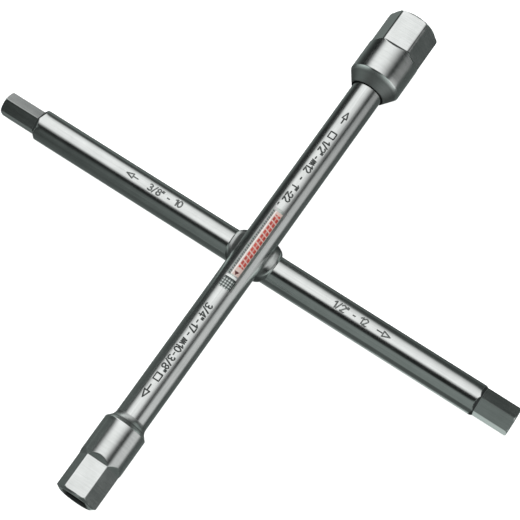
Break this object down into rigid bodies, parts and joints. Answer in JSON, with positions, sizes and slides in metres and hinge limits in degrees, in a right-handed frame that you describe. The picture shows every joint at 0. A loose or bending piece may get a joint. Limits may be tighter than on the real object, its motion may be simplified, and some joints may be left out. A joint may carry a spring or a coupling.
{
  "type": "four-way step key",
  "caption": "Cross-shaped plumber's key: two welded bars with square-drive socket heads on one and external hexagon tips on the other.",
  "frame": {"origin": "on the surface that the tool lies on, straight under the point where the two bars cross", "axes": "+Y along the socket bar towards the 22 mm head, +X along the hex bar towards the 12 mm tip, +Z square to both bars"},
  "size_m": [0.2626, 0.26, 0.0276],
  "materials": {
    "bar_steel": "satin nickel-chrome plate with drawing lines along the bar",
    "head_steel": "satin nickel-chrome plate over turned and milled faces",
    "weld_metal": "plated weld upset, smooth and slightly darker",
    "braze_metal": "dark seam",
    "label_print": "thin printed film, red and white on grey"
  },
  "bodies": {
    "root": {"socket_bar": "bar_steel", "hex_bar": "bar_steel", "large_head": "head_steel", "small_head": "head_steel", "collar_10_side": "weld_metal", "collar_12_side": "weld_metal", "large_neck_ring": "braze_metal", "small_neck_fillet": "bar_steel", "label_film": "label_print"}
  },
  "joints": []
}
